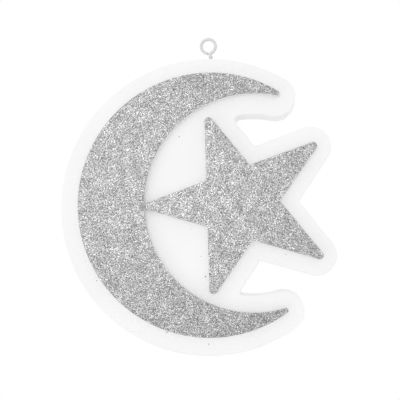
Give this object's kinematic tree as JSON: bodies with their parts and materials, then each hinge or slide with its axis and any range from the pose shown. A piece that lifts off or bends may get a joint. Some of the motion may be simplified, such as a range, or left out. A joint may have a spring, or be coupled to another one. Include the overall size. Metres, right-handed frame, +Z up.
{
  "type": "eid crescent ornament",
  "caption": "Hanging crescent and star ornament: a white board cut to their outline, a raised silver-glitter crescent and star glued to its front, and a screw eye in its top edge.",
  "frame": {"origin": "centre of the hanging ring", "axes": "+X to the viewer's right, +Y from the front to the back, +Z up along the hanging direction"},
  "size_m": [0.1869, 0.02, 0.2187],
  "materials": {
    "white_paint": "matt white paint on fine fibreboard, edges slightly softened",
    "clear_glue": "dried craft glue, slightly milky",
    "core_edge": "light grey-white sealed cut edge",
    "silver_glitter": "dense silver glitter flakes in clear binder",
    "zinc_wire": "bright zinc-plated wire"
  },
  "bodies": {
    "ornament": {"backing_board": "white_paint", "crescent_glue_film": "clear_glue", "crescent_core": "core_edge", "crescent_glitter_face": "silver_glitter", "star_glue_film": "clear_glue", "star_core": "core_edge", "star_glitter_face": "silver_glitter"},
    "eye": {"screw_eye": "zinc_wire"}
  },
  "joints": [
    {"name": "eye_turn", "type": "hinge", "parent": "ornament", "child": "eye", "pos_m": [0, 0, 0], "axis": [-0.2079, 0, 0.9781], "range_deg": [-90, 90]}
  ]
}
